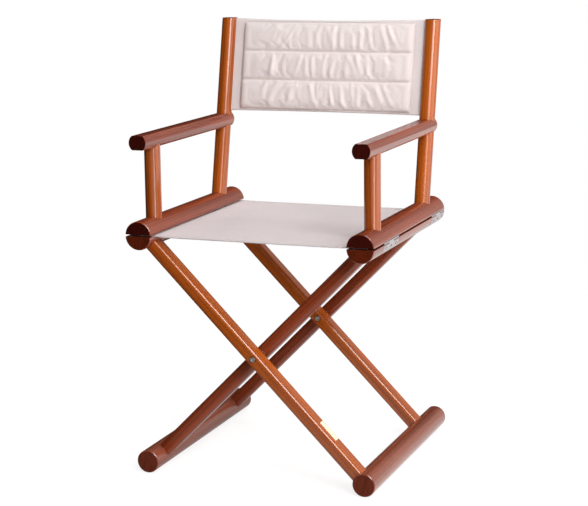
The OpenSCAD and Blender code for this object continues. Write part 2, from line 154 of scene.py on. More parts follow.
def srgb(r, g, b):
    """A colour written as it is seen, 0 to 255, as linear values."""
    return tuple(c / 255 / 12.92 if c / 255 <= 0.04045 else ((c / 255 + 0.055) / 1.055) ** 2.4 for c in (r, g, b))


# ---- wood grain, shared by every wooden piece ----


def make_grain():
    """Sawn teak. X runs along the grain. Growth layers are shells round a pith that lies off to one side, bent by slow
    noise, so they show as long lines on the sides and arcs on the ends. Fine pores are short dashes along X. The end
    grain is darker, found where the object's normal lies along the grain."""
    group, t, given, out = shader_group("teak_grain", [
        ("Vector", "NodeSocketVector", None), ("Along", "NodeSocketVector", None),
        ("Light", "NodeSocketColor", (*srgb(188, 106, 52), 1)), ("Dark", "NodeSocketColor", (*srgb(112, 46, 18), 1)),
        ("End", "NodeSocketColor", (*srgb(58, 18, 10), 1)), ("Seed", "NodeSocketFloat", 0.0)],
        [("Color", "NodeSocketColor"), ("Roughness", "NodeSocketFloat"), ("Height", "NodeSocketFloat"),
         ("End Grain", "NodeSocketFloat")])
    place = given["Vector"]
    split = t.node("ShaderNodeSeparateXYZ", {0: place})
    long_place = t.node("ShaderNodeCombineXYZ", {0: t.math("MULTIPLY", split.outputs[0], 0.9),
                                                 1: t.math("MULTIPLY", split.outputs[1], 14),
                                                 2: t.math("MULTIPLY", split.outputs[2], 14)}).outputs[0]
    seeded = t.vector("ADD", long_place, t.node("ShaderNodeCombineXYZ", {0: given["Seed"], 1: given["Seed"],
                                                                       2: given["Seed"]}).outputs[0])
    drift = t.noise(seeded, 1.1, 3.0, 0.55)
    pith_y = t.math("ADD", split.outputs[1], t.math("MULTIPLY_ADD", t.math("SINE", given["Seed"]), 0.02, 0.045))
    pith_z = t.math("ADD", split.outputs[2], t.math("MULTIPLY_ADD", t.math("COSINE", given["Seed"]), 0.02, 0.03))
    distance = t.math("SQRT", t.math("ADD", t.math("MULTIPLY", pith_y, pith_y), t.math("MULTIPLY", pith_z, pith_z)))
    layers = t.math("ADD", t.math("MULTIPLY", distance, 210.0), t.math("MULTIPLY", drift, 5.0))
    saw = t.math("FRACT", layers)
    line = t.math("POWER", saw, 3.0)
    streaks = t.noise(t.vector("MULTIPLY", seeded, (2.0, 5.5, 5.5)), 1.0, 2.5, 0.55)
    blotch = t.noise(t.vector("MULTIPLY", seeded, (1.6, 1.0, 1.0)), 1.0, 2.0, 0.5)
    shade = t.math("ADD", t.math("MULTIPLY", line, 0.36), t.math("MULTIPLY_ADD", streaks, 1.5, -0.46))
    shade = t.math("ADD", shade, t.math("MULTIPLY_ADD", blotch, 1.1, -0.60), clamp=True)
    side = t.mix(shade, given["Light"], given["Dark"])
    pore_place = t.vector("MULTIPLY", seeded, (20.0, 52.0, 52.0))
    pore = t.noise(pore_place, 1.0, 1.0, 0.5)
    pore = t.math("MULTIPLY", t.math("SUBTRACT", pore, 0.60), 9.0, clamp=True)
    side = t.mix(t.math("MULTIPLY", pore, 0.13), side, t.mix(0.5, given["Dark"], (0.01, 0.004, 0.002, 1)))
    normal = t.node("ShaderNodeTexCoord").outputs["Normal"]
    facing = t.math("ABSOLUTE", t.vector("DOT_PRODUCT", normal, given["Along"]))
    end = t.math("MULTIPLY", t.math("SUBTRACT", facing, 0.86), 14.0, clamp=True)
    fleck = t.noise(t.vector("MULTIPLY", place, (1.0, 900.0, 900.0)), 1.0, 1.0)
    rays = t.noise(t.vector("MULTIPLY", seeded, (1.0, 26.0, 3.0)), 1.0, 2.0)
    rays = t.math("MULTIPLY", t.math("SUBTRACT", rays, 0.46), 4.0, clamp=True)
    fine = t.math("MULTIPLY_ADD", line, 0.35, t.math("MULTIPLY", fleck, 0.2))
    arcs = t.math("ADD", t.math("MULTIPLY", rays, 0.55), fine, clamp=True)
    cut = t.mix(arcs, given["End"], t.mix(0.68, given["End"], (0.0, 0.0, 0.0, 1)))
    t.feed(out.inputs["Color"], t.mix(end, side, cut))
    dull = t.math("MULTIPLY_ADD", end, 0.25, 0.42)
    t.feed(out.inputs["Roughness"], t.math("ADD", t.math("MULTIPLY", streaks, 0.14), dull))
    swell = t.noise(t.vector("MULTIPLY", seeded, (1.5, 5.0, 5.0)), 1.0, 1.0)
    t.feed(out.inputs["Height"], t.math("MULTIPLY_ADD", pore, -0.02, swell))
    t.feed(out.inputs["End Grain"], end)
    return group


def make_wear():
    """Small uneven wear: cloudy patches that shift a colour slightly, from 0 to 1."""
    group, t, given, out = shader_group(
        "soft_wear", [("Vector", "NodeSocketVector", None), ("Size", "NodeSocketFloat", 20.0)],
        [("Mask", "NodeSocketFloat")])
    cloud = t.noise(given["Vector"], given["Size"], 4.0, 0.6)
    t.feed(out.inputs["Mask"], t.math("MULTIPLY", t.math("SUBTRACT", cloud, 0.42), 3.0, clamp=True))
    return group


def make_weave():
    """Plain weave from the piece's own UV map, in metres: over and under threads as a product of two sine waves, thread
    rounding from their absolute values, and thread-to-thread colour differences from stretched noise."""
    group, t, given, out = shader_group("plain_weave", [
        ("UV", "NodeSocketVector", None), ("Pitch", "NodeSocketFloat", WEAVE_PITCH)],
        [("Height", "NodeSocketFloat"), ("Tone", "NodeSocketFloat")])
    rate = t.math("DIVIDE", math.pi, given["Pitch"])
    split = t.node("ShaderNodeSeparateXYZ", {0: given["UV"]})
    u = t.math("MULTIPLY", split.outputs[0], rate)
    v = t.math("MULTIPLY", split.outputs[1], rate)
    su, sv = t.math("SINE", u), t.math("SINE", v)
    over = t.math("GREATER_THAN", t.math("MULTIPLY", su, sv), 0.0)
    warp = t.math("ABSOLUTE", su)
    weft = t.math("ABSOLUTE", sv)
    height = t.math("ADD", t.math("MULTIPLY", over, warp), t.math("MULTIPLY", t.math("SUBTRACT", 1.0, over), weft))
    threads_u = t.noise(t.vector("MULTIPLY", given["UV"], (900.0, 12.0, 1.0)), 1.0, 1.0)
    threads_v = t.noise(t.vector("MULTIPLY", given["UV"], (12.0, 900.0, 1.0)), 1.0, 1.0)
    t.feed(out.inputs["Height"], height)
    t.feed(out.inputs["Tone"], t.math("MULTIPLY", t.math("ADD", threads_u, threads_v), 0.5))
    return group


GRAIN, WEAR, WEAVE = make_grain(), make_wear(), make_weave()


def new_material(name):
    material = bpy.data.materials.new(name)
    t = empty_tree(material)
    shader = t.node("ShaderNodeBsdfPrincipled")
    t.node("ShaderNodeOutputMaterial", {"Surface": shader.outputs[0]})
    return material, t, shader


END = (56, 9, 3)        # tone of most end grain
COAT = 0.8              # weight of the varnish, which the end grain soaks up


def varnished(name, along, middle, seed, light, dark, end=END):
    """Varnished wood for one piece: its grain direction, a middle to turn the pattern about, a seed and its tones."""
    material, t, shader = new_material(name)
    turn = Vector(along).normalized().rotation_difference(Vector((1, 0, 0)))
    shifted = t.vector("SUBTRACT", t.node("ShaderNodeTexCoord").outputs["Object"], tuple(middle))
    placed = t.node("ShaderNodeMapping", {"Vector": shifted, "Rotation": tuple(turn.to_euler())}).outputs[0]
    grain = t.node("ShaderNodeGroup", node_tree=GRAIN)
    for label, value in (("Vector", placed), ("Along", tuple(Vector(along).normalized())), ("Seed", float(seed)),
                         ("Light", (*srgb(*light), 1)), ("Dark", (*srgb(*dark), 1)), ("End", (*srgb(*end), 1))):
        t.feed(grain.inputs[label], value)
    t.feed(shader.inputs["Base Color"], grain.outputs["Color"])
    t.feed(shader.inputs["Roughness"], grain.outputs["Roughness"])
    t.feed(shader.inputs["Normal"], t.bump(grain.outputs["Height"], 0.10, 0.0006))
    t.feed(shader.inputs["Coat Weight"], t.math("MULTIPLY_ADD", grain.outputs["End Grain"], -0.95 * COAT, COAT))
    shader.inputs["Coat Roughness"].default_value = 0.15
    shader.inputs["Specular IOR Level"].default_value = 0.04
    return material


def brushed(name, colour, roughness, metallic=1.0):
    """Steel with fine brushing along Y and cloudy tarnish, or thread where metallic is 0."""
    material, t, shader = new_material(name)
    place = t.node("ShaderNodeTexCoord").outputs["Object"]
    brush = t.noise(t.vector("MULTIPLY", place, (2600.0, 60.0, 2600.0)), 1.0, 2.0)
    wear = t.node("ShaderNodeGroup", {"Vector": place, "Size": 90.0}, node_tree=WEAR).outputs["Mask"]
    tone = srgb(*colour)
    tarnish = tuple(c * 0.55 for c in tone)
    t.feed(shader.inputs["Base Color"], t.mix(t.math("MULTIPLY", wear, 0.5), (*tone, 1), (*tarnish, 1)))
    t.feed(shader.inputs["Roughness"], t.math("MULTIPLY_ADD", brush, 0.18, roughness - 0.06))
    t.feed(shader.inputs["Normal"], t.bump(brush, 0.1, 0.0002))
    shader.inputs["Metallic"].default_value = metallic
    return material


def cloth_material(name, colour, tint=(208, 196, 195), bump=0.35):
    """Ecru canvas: plain weave, uneven yarn tone, faint soiling, painted shade between the threads and a soft sheen."""
    material, t, shader = new_material(name)
    uv = t.node("ShaderNodeUVMap", uv_map="cloth").outputs[0]
    weave = t.node("ShaderNodeGroup", {"UV": uv, "Pitch": WEAVE_PITCH}, node_tree=WEAVE)
    wear = t.node("ShaderNodeGroup", {"Vector": uv, "Size": 9.0}, node_tree=WEAR).outputs["Mask"]
    tone = t.mix(t.math("MULTIPLY", weave.outputs["Tone"], 0.35), (*srgb(*colour), 1), (*srgb(*tint), 1))
    tone = t.mix(t.math("MULTIPLY", wear, 0.22), tone, (*srgb(*tint), 1))
    # Painted shade: where the weave is low, between the threads, the colour is darkened towards a grey-brown.
    gap = t.math("SUBTRACT", 1.0, weave.outputs["Height"])
    tone = t.mix(t.math("MULTIPLY", gap, 0.16), tone, (*srgb(150, 132, 124), 1))
    t.feed(shader.inputs["Base Color"], tone)
    shader.inputs["Roughness"].default_value = 0.9
    shader.inputs["Sheen Weight"].default_value = 0.15
    shader.inputs["Sheen Roughness"].default_value = 0.5
    shader.inputs["Specular IOR Level"].default_value = 0.2
    t.feed(shader.inputs["Normal"], t.bump(weave.outputs["Height"], bump, 0.00025))
    return material


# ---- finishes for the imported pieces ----

ALONG_Y, ALONG_Z = (0, 1, 0), (0, 0, 1)
ALONG_BACK = tuple(UP_POST)
ALONG_A = (-math.sin(LEG_TILT), 0, math.cos(LEG_TILT))
ALONG_B = (math.sin(LEG_TILT), 0, math.cos(LEG_TILT))
# The light and the dark tone of each wood.
RED = ((146, 66, 36), (84, 26, 12))
AMBER = ((180, 88, 20), (104, 37, 4))
BROWN = ((150, 66, 32), (84, 26, 8))
# The floor rails' red is paler than the other rails': painted light, standing in for the light the floor throws onto
# them.
RED_WITH_PAINTED_FLOOR_LIGHT = ((142, 76, 54), (98, 45, 29))


def paint(node, material):
    """Gives every material slot of a node the same finish."""
    piece = frame["nodes"][node]
    for place in range(max(1, len(piece.material_slots))):
        if place < len(piece.data.materials):
            piece.data.materials[place] = material
        else:
            piece.data.materials.append(material)


# End grain tone by piece. The floor rails' paler end grain is painted light from the floor.
END_TONES = {"lower_rail": (90, 30, 9), "floor_rail": (112, 50, 33)}
WOODS = [
    ("upper_rail", ALONG_Y, RED), ("lower_rail", ALONG_Y, RED), ("floor_rail", ALONG_Y, RED_WITH_PAINTED_FLOOR_LIGHT),
    ("armrest", ALONG_Y, RED), ("front_post", ALONG_Z, AMBER), ("back_post", ALONG_BACK, AMBER),
    ("back_post_top", ALONG_BACK, AMBER)]
for number, (piece, along, tones) in enumerate(WOODS):
    for side, name in enumerate(("left", "right")):
        node = piece + "_" + name
        middle = box_mid(node)
        seed = 3.7 * number + 11.3 * side
        if piece.startswith(("upper_rail", "lower_rail")):
            middle.z, seed = SPLIT_H, 11.3 * side
        if piece.startswith("back_post"):
            middle, seed = Vector((middle.x, *BACK_BASE[1:])), 21.0 + 7.9 * side
        paint(node, varnished("teak_" + node, along, middle, seed, *tones, end=END_TONES.get(piece, END)))
for number, node in enumerate(("leg_a_front", "leg_a_back", "leg_b_front", "leg_b_back")):
    first = node.startswith("leg_a")
    paint(node, varnished("teak_" + node, ALONG_A if first else ALONG_B, box_mid(node), 41.0 + 5.3 * number,
                          *(AMBER if first else BROWN)))

SATIN = brushed("satin_steel", (178, 172, 174), 0.40)
DULL = brushed("dull_steel", (120, 112, 108), 0.42)
BOLT = brushed("bolt_steel", (196, 188, 182), 0.36)
for node in frame["nodes"]:
    if "leaves" in node or "stud" in node or "rod" in node or node == "pivot_washers":
        paint(node, SATIN)
    elif "screws" in node or "pins" in node:
        paint(node, DULL)
    elif node in ("pivot_bolts", "pivot_nuts"):
        paint(node, BOLT)


def cream_plate():
    """A blank cream plate: slightly mottled lacquer with a soft gloss."""
    material, t, shader = new_material("cream_plate")
    place = t.node("ShaderNodeTexCoord").outputs["Object"]
    wear = t.node("ShaderNodeGroup", {"Vector": place, "Size": 120.0}, node_tree=WEAR).outputs["Mask"]
    t.feed(shader.inputs["Base Color"], t.mix(t.math("MULTIPLY", wear, 0.35), (*srgb(250, 226, 198), 1),
                                              (*srgb(228, 192, 156), 1)))
    t.feed(shader.inputs["Normal"], t.bump(t.noise(place, 900.0), 0.05, 0.0002))
    shader.inputs["Roughness"].default_value = 0.4
    return material


paint("leg_plate", cream_plate())

# ---- mesh helpers ----


def add_object(name, data):
    made = bpy.data.objects.new(name, data)
    bpy.context.collection.objects.link(made)
    return made


def make_piece(name, points, faces, material, uv=None):
    """A smooth piece from its points and faces. The UV map "cloth", in metres, comes from one place for each point."""
    mesh = bpy.data.meshes.new(name)
    mesh.from_pydata(points.reshape(-1, 3).tolist(), [], faces)
    if uv is not None:
        corners = uv.reshape(-1, 2)[np.ravel(faces)].astype(np.float32)
        mesh.uv_layers.new(name="cloth").data.foreach_set("uv", corners.ravel())
    mesh.shade_smooth()
    mesh.materials.append(material)
    return add_object(name, mesh)


def tube_mesh(name, points, uv, material):
    """A tube with open ends from points on a grid (rows, columns, 3). Quads join each point with the next along both
    ways, and the last column joins the first."""
    rows, cols = points.shape[:2]
    i, j = (a.ravel() for a in np.meshgrid(np.arange(rows - 1), np.arange(cols), indexing="ij"))
    k, m = i + 1, (j + 1) % cols
    faces = np.stack([i * cols + j, i * cols + m, k * cols + m, k * cols + j], 1)
    return make_piece(name, points, faces.tolist(), material, uv)


def smooth(a, b, x):
    """0 below a, 1 above b, and a smooth rise between them: 3t^2 - 2t^3."""
    t = np.clip((x - a) / (b - a), 0, 1)
    return t * t * (3 - 2 * t)


def strip_lengths(path):
    """Distance along a line of points, starting at 0."""
    return np.concatenate([[0], np.cumsum(np.linalg.norm(np.diff(path, axis=0), axis=1))])


def stitches(name, lines, material, length=0.0026, gap=0.0014, radius=0.00042, lift=0.0001):
    """Thread showing along each line of (points, normals): short capsules of 5 sides and 4 rings. A capsule's ring
    radius is r sin(a) and its place along the stitch is the half length times cos(a), for a from 0 to 180 degrees."""
    ring = np.radians([18, 55, 90, 125, 162])
    turn = np.radians(np.arange(5) * 72.0)
    verts, faces, count = [], [], 0
    for points, normals in lines:
        reach = strip_lengths(points)
        middles = np.arange(length, reach[-1] - length, length + gap)
        centre = np.stack([np.interp(middles, reach, points[:, a]) for a in range(3)], 1)
        up = np.stack([np.interp(middles, reach, normals[:, a]) for a in range(3)], 1)
        ahead = np.stack([np.interp(middles + 1e-3, reach, points[:, a]) for a in range(3)], 1) - np.stack(
            [np.interp(middles - 1e-3, reach, points[:, a]) for a in range(3)], 1)
        ahead /= np.linalg.norm(ahead, axis=1)[:, None]
        up /= np.linalg.norm(up, axis=1)[:, None]
        across = np.cross(up, ahead)
        centre = centre + up * lift
        out = radius * np.sin(ring)
        body = centre[:, None, None] + ahead[:, None, None] * (0.5 * length * np.cos(ring))[None, :, None, None] \
            + (across[:, None, None] * np.cos(turn)[None, None, :, None]
               + up[:, None, None] * np.sin(turn)[None, None, :, None]) * out[None, :, None, None]
        verts.append(body.reshape(-1, 3))
        n, rings, sides = body.shape[:3]
        base = count + (np.arange(n) * rings * sides)[:, None, None]
        a = (np.arange(rings - 1) * sides)[None, :, None] + np.arange(sides)[None, None, :]
        b = (np.arange(rings - 1) * sides)[None, :, None] + ((np.arange(sides) + 1) % sides)[None, None, :]
        quads = np.stack([base + a, base + a + sides, base + b + sides, base + b], -1).reshape(-1, 4)
        faces += quads.tolist()
        faces += (base[:, 0] + np.arange(sides)[None]).tolist()
        faces += (base[:, 0] + (rings - 1) * sides + np.arange(sides)[::-1][None]).tolist()
        count += n * rings * sides
    return make_piece(name, np.concatenate(verts), faces, material)


def sheet_faces(rows, cols):
    """The front of a closed sheet, and the rim that joins it to a back whose point numbers are rows x cols higher."""
    grid = np.arange(rows * cols).reshape(rows, cols)
    i, j = (a.ravel() for a in np.meshgrid(np.arange(rows - 1), np.arange(cols - 1), indexing="ij"))
    front = np.stack([grid[i, j], grid[i, j + 1], grid[i + 1, j + 1], grid[i + 1, j]], 1)
    rim = np.concatenate([grid[0], grid[1:, -1], grid[-1, -2::-1], grid[-2:0:-1, 0]])
    around = np.roll(rim, -1)
    return front, np.stack([rim, rim + rows * cols, around + rows * cols, around], 1)


def solid_sheet(name, points, normals, thick, uv, material):
    """A closed sheet: the grid pushed out by thick (rows, columns) below the given surface along its normals, with the
    rim joined. Both faces share the UV map."""
    rows, cols = points.shape[:2]
    below = points - normals * thick[..., None]
    front, edge = sheet_faces(rows, cols)
    back = np.roll(front[:, ::-1], 1, axis=1) + rows * cols
    both = np.concatenate([points.reshape(-1, 3), below.reshape(-1, 3)])
    return make_piece(name, both, np.concatenate([front, back, edge]).tolist(), material,
                      np.concatenate([uv.reshape(-1, 2)] * 2))


def grid_normals(points, facing):
    """Unit normals of a grid of points: the cross product of its two directions, turned to the facing side."""
    n = np.cross(np.gradient(points, axis=1), np.gradient(points, axis=0))
    n /= np.linalg.norm(n, axis=2)[..., None]
    middle = n[len(points) // 2, points.shape[1] // 2]
    return n if middle @ facing > 0 else -n


CANVAS = cloth_material("ecru_canvas", (234, 225, 224))
# The seat and its hems use the ecru canvas darkened, with a darker tint: painted shade on the seat.
SHADED_SEAT_CANVAS = cloth_material("seat_canvas_painted_shade", (214, 204, 205), tint=(190, 178, 179))
PADDING = cloth_material("quilted_canvas", (243, 232, 230), bump=0.3)
THREAD = brushed("ecru_thread", (205, 190, 182), 0.8, metallic=0.0)

# ---- seat canvas ----


SEAT_TOP = 0.48375                   # upper side of the seat
SEAT_FRONT, SEAT_BACK = -0.236, 0.218
SEAT_ROD = (RAIL_X + 0.008, 0.47685)  # X and Z of the right seat rod
SEAT_SLEEVE = 0.0025 + 0.0009        # radius of the rod and the thickness of the cloth
EDGE_BEND = 0.0012                   # radius of the bend from the slot into the seat
SLEEVE = 22                          # points round a sleeve
# Shallow folds: X, Y, slant in radians, width and height.
FOLDS = [(-0.12, -0.15, 0.5, 0.012, 0.0008), (-0.15, -0.05, 0.9, 0.016, 0.0007), (0.13, -0.12, -0.5, 0.014, 0.0008),
         (0.10, 0.10, 0.4, 0.018, 0.0007), (-0.02, 0.02, 0.15, 0.02, 0.0006), (0.02, -0.19, 0.08, 0.010, 0.0005),
         (0.16, 0.02, -0.9, 0.014, 0.0007), (-0.06, 0.15, -0.25, 0.016, 0.0006)]


def sleeve(centre, radius, start):
    """Points round a rod: 0.93 of a turn at the radius about the centre, clockwise from the start angle."""
    angle = start + np.linspace(0, -2 * math.pi * 0.93, SLEEVE)
    return np.stack([centre[0] + radius * np.cos(angle), centre[1] + radius * np.sin(angle)], 1)


def seat_free(x):
    """1 over the open middle of the seat, falling to 0 at the rails."""
    return smooth(0.199, 0.150, np.abs(x))


def squarish(angle):
    """A cosine that lingers at its ends: the long way of a hem's rounded strip."""
    return np.sign(np.cos(angle)) * np.abs(np.cos(angle)) ** 0.35


def seat_profile():
    """The cross-section in X and Z of the right half: round the rod from inside to the slot, up the slot, over the edge
    and to the middle."""
    rod_x, rod_z = SEAT_ROD
    bend_z = SEAT_TOP - 0.0016
    loop = sleeve(SEAT_ROD, SEAT_SLEEVE, math.radians(100))
    rise = np.stack([np.full(6, rod_x), np.linspace(rod_z + 0.0042, bend_z, 6)], 1)
    turn = np.radians(np.linspace(0, 90, 6))[1:]
    bend = np.stack([rod_x - EDGE_BEND + EDGE_BEND * np.cos(turn), bend_z + EDGE_BEND * np.sin(turn)], 1)
    flat = np.stack([np.linspace(rod_x - EDGE_BEND, 0, 130)[1:], np.full(129, SEAT_TOP - 0.0004)], 1)
    return np.concatenate([loop[:-1], rise, bend, flat])


def seat_shape():
    """The seat: the half profile mirrored, carried along Y. The open span sags by 1.8 mm at most, and the shallow folds
    lie on it: each is a Gaussian ridge across a slanting line that fades along it."""
    half = seat_profile()
    profile = np.concatenate([half[:-1] * (1, 1), (half * (-1, 1))[::-1]])[::-1]
    across = strip_lengths(profile)
    y = np.linspace(SEAT_FRONT, SEAT_BACK, 120)
    x = np.broadcast_to(profile[:, 0], (len(y), len(profile)))
    z = np.broadcast_to(profile[:, 1], x.shape).copy()
    yy = np.broadcast_to(y[:, None], x.shape)
    open_span = seat_free(x) * (z > SEAT_TOP - 0.001)
    mid = 1 - ((yy - (SEAT_FRONT + SEAT_BACK) / 2) / 0.227) ** 2
    z -= open_span * (0.0006 + 0.0012 * mid)
    for cx, cy, slope, width, size in FOLDS:
        along = (x - cx) * math.cos(slope) + (yy - cy) * math.sin(slope)
        off = -(x - cx) * math.sin(slope) + (yy - cy) * math.cos(slope)
        z += open_span * size * np.exp(-(off / width) ** 2) * np.exp(-(along / 0.11) ** 2)
    points = np.stack([x, yy, z], 2)
    uv = np.stack([np.broadcast_to(across[None], x.shape), yy], 2)
    return points, uv, across[-1]


seat_points, seat_uv, seat_width = seat_shape()
seat_normals = grid_normals(seat_points, np.array([0.0, 0.0, 1.0]))
seat_thick = np.full(seat_points.shape[:2], SHEET_T)
seat = solid_sheet("seat_cloth", seat_points, seat_normals, seat_thick, seat_uv, SHADED_SEAT_CANVAS)
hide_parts("seat_canvas")
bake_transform(seat)


def seat_hem(name, front):
    """A folded hem under the seat edge: a flat loop 14 mm deep whose cross-section is a rounded strip, along X."""
    half = 0.1985
    x = np.linspace(-half, half, 90)
    angle = np.linspace(0, 2 * math.pi, 24, endpoint=False)
    depth, thick = 0.0070, 0.00085
    y = depth * squarish(angle)
    z = thick * np.sin(angle)
    sign = 1 if front else -1
    edge = SEAT_FRONT if front else SEAT_BACK
    taper = 1.0 - 0.25 * smooth(0.190, half, np.abs(x))
    points = np.stack([
        np.repeat(x[:, None], len(angle), 1),
        edge + sign * (depth + y[None] * taper[:, None]),
        SEAT_TOP - 0.0019 - 0.0006 * seat_free(x)[:, None] + z[None] * taper[:, None]], 2)
    round_it = np.cumsum(np.full(len(angle), 0.0006))
    uv = np.stack([points[..., 0], np.broadcast_to(round_it, points.shape[:2])], 2)
    piece = tube_mesh(name, points, uv, SHADED_SEAT_CANVAS)
    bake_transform(piece)


seat_hem("seat_hem_front", True)
seat_hem("seat_hem_back", False)


def line_on(points, normals, rows, cols):
    """A stitched line on a grid: its points and normals, picked by row and column."""
    return points[rows, cols], normals[rows, cols]


span = np.where(np.abs(seat_points[60, :, 0]) < 0.198)[0]
span = span[seat_points[60, span, 2] > SEAT_TOP - 0.004]
seat_lines = []
for row in (3, len(seat_points) - 4):
    seat_lines.append(line_on(seat_points, seat_normals, np.full(len(span), row), span))
seat_thread = stitches("seat_stitching", seat_lines, THREAD)
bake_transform(seat_thread)

# ---- back canvas ----

BACK_HIGH = POST_TOP - 0.0010        # upper and lower edge at the posts, measured along them from the gap
BACK_LOW = BACK_HIGH - 0.1985
BACK_REACH = 0.2105                  # half the width of the hems
BACK_SLEEVE = 0.0029                 # radius of the sleeve
ROD_X = RAIL_X - 0.01035             # the back rods, in the grooves of the posts


def on_back(x, up, out):
    """A place on the back: x across, up along the posts from the seat gap, out forward from the plane of the posts."""
    x, up, out = np.broadcast_arrays(x, up, out)
    y, z = (BACK_BASE[a] + UP_POST[a] * up + FORWARD[a] * out for a in (1, 2))
    return np.stack([x, y, z], -1)


def back_bow(x):
    """1 at mid-span, falling as a parabola to 0 at the posts."""
    return 1 - np.clip(np.abs(x) / 0.2115, 0, 1) ** 2


def back_shape():
    """The back canvas: round one rod, straight across, round the other rod, carried up the posts. Its upper edge hangs
    by 3.5 mm at mid-span as a parabola, and its lower edge rises by 1.5 mm."""
    loop = sleeve((ROD_X, 0.0), BACK_SLEEVE, math.radians(170))
    flat = np.stack([np.linspace(ROD_X - 0.0036, 0, 90), np.zeros(90)], 1)
    half = np.concatenate([loop, flat])
    profile = np.concatenate([half[:-1], (half * (-1, 1))[::-1]])[::-1]
    across = strip_lengths(profile)
    v = np.linspace(0, 1, 70)
    x = np.broadcast_to(profile[:, 0], (70, len(profile)))
    bow = back_bow(x)
    up = BACK_LOW + 0.0015 * bow + v[:, None] * (BACK_HIGH - BACK_LOW - 0.0050 * bow)
    free = smooth(0.211, 0.17, np.abs(x))
    wave = 0.0006 * np.sin(x * 34 + 3 * v[:, None]) * free + 0.0005 * np.sin(up * 60 + x * 15) * free
    points = on_back(x, up, np.broadcast_to(-profile[:, 1], x.shape) + wave)
    uv = np.stack([np.broadcast_to(across[None], x.shape), up], 2)
    return points, uv


back_points, back_uv = back_shape()
back_normals = grid_normals(back_points, FORWARD)


def fold_back(piece):
    """Makes a piece of the back ride on the left arm frame, with a mesh of its own."""
    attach(piece, "left_arm_frame")
    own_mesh(piece)


def back_panel(name, first, last):
    """A part of the back canvas between two columns of its grid."""
    cut = (slice(None), slice(first, last + 1))
    face, up = back_points[cut], back_normals[cut]
    return solid_sheet(name, face + up * SHEET_T / 2, up, np.full(face.shape[:2], SHEET_T), back_uv[cut], CANVAS)


# The open span and the sleeve round each rod are one cloth in three pieces, since each sleeve stays with its post.
last_column = back_points.shape[1] - 1
back = back_panel("back_cloth", SLEEVE, last_column - SLEEVE)
sleeves = [back_panel("back_sleeve_left", 0, SLEEVE),
           back_panel("back_sleeve_right", last_column - SLEEVE, last_column)]
for sleeve_piece, arm in zip(sleeves, ("left_arm_frame", "right_arm_frame")):
    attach(sleeve_piece, arm)
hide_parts("back_canvas")
fold_back(back)


def back_hem(name, top):
    """The folded hem behind the back canvas, 9 mm deep: a rounded strip in cross-section, along the edge."""
    x = np.linspace(-BACK_REACH, BACK_REACH, 100)
    angle = np.linspace(0, 2 * math.pi, 20, endpoint=False)
    bow = back_bow(x)
    edge = (BACK_HIGH - 0.0035 * bow) if top else (BACK_LOW + 0.0015 * bow)
    sign = -1 if top else 1
    deep = 0.0045
    up = edge[:, None] + sign * (deep + deep * squarish(angle)[None])
    out = -0.0012 - 0.0007 * np.sin(angle)[None] + 0 * up
    points = on_back(np.repeat(x[:, None], len(angle), 1), up, out)
    piece = tube_mesh(name, points, np.stack([points[..., 0], up], 2), CANVAS)
    fold_back(piece)


back_hem("back_hem_top", True)
back_hem("back_hem_bottom", False)

# ---- padded panel ----

PAD_W, PAD_H, PAD_CH = 0.380, 0.184, 3   # width, height and number of channels
PAD_HIGH = POST_TOP - 0.010
CHANNEL_H = PAD_H / PAD_CH
CREASE_SIZE = 0.0023                 # height of the tallest wrinkles
FRAMES = 20                          # steps of the cloth simulation


def creases(x, up, seed):
    """Wrinkles across the channels: for each channel 14 Gaussian ridges with a dip beside them, on slanting lines.
    Their places, slants, widths and heights are random but seeded."""
    pick = np.random.default_rng(seed)
    total = np.zeros_like(x)
    for channel in range(PAD_CH):
        low = PAD_HIGH - PAD_H + channel * CHANNEL_H
        t = (up - low) / CHANNEL_H
        inside = smooth(0.02, 0.22, t) * smooth(0.98, 0.78, t)
        for place in np.linspace(-0.130, 0.140, 14):
            centre = place + pick.normal(0, 0.006)
            slant = pick.normal(0.0, 0.16) - centre * 2.6
            width = pick.uniform(0.0036, 0.0064)
            size = pick.uniform(0.4, 1.0) * CREASE_SIZE
            side = pick.choice([0.2, 0.5, 0.8]) + pick.normal(0, 0.06)
            curve = 0.003 * np.sin(t * 3.0 + pick.uniform(0, 6))
            off = x - centre - slant * (t - 0.5) * CHANNEL_H - curve
            reach = np.exp(-((t - side) / 0.5) ** 2)
            ridge = np.exp(-(off / width) ** 2) - 0.6 * np.exp(-((off - 1.7 * width) / width) ** 2)
            total += size * reach * inside * ridge
    return total


def pad_shape(rows=112, cols=191):
    """The panel's grid and how far it stands forward, 0 to 1: nearly flat channels with a slight crown,
    1 - 0.16(2t - 1)^2, a narrow groove at each seam, 0.52 exp(-(d / 3.2 mm)^1.5), and rounded outer edges,
    (1 - s^2.4)^0.5 over the last 14 mm at the sides and 12 mm at the top and bottom."""
    x = np.broadcast_to(np.linspace(-PAD_W / 2, PAD_W / 2, cols), (rows, cols))
    v = np.linspace(0, 1, rows)[:, None]
    up = PAD_HIGH - PAD_H + v * PAD_H + 0 * x
    t = (v * PAD_CH) % 1.0
    from_seam = np.minimum(np.abs(v - 1 / 3), np.abs(v - 2 / 3)) * PAD_H
    crown = (1 - 0.16 * (2 * t - 1) ** 2) * (1 - 0.52 * np.exp(-(from_seam / 0.0032) ** 1.5))
    sides = np.clip(1 - np.clip((np.abs(x) - (PAD_W / 2 - 0.014)) / 0.014, 0, 1) ** 2.4, 0, 1) ** 0.5
    ends = np.clip(1 - np.clip((np.abs(v - 0.5) * PAD_H - (PAD_H / 2 - 0.012)) / 0.012, 0, 1) ** 2.4, 0, 1) ** 0.5
    return x, up, crown * sides * ends


def pad_out(rise):
    """How far the panel's front stands out from the canvas before it is swelled."""
    return 0.0016 + 0.0080 * rise


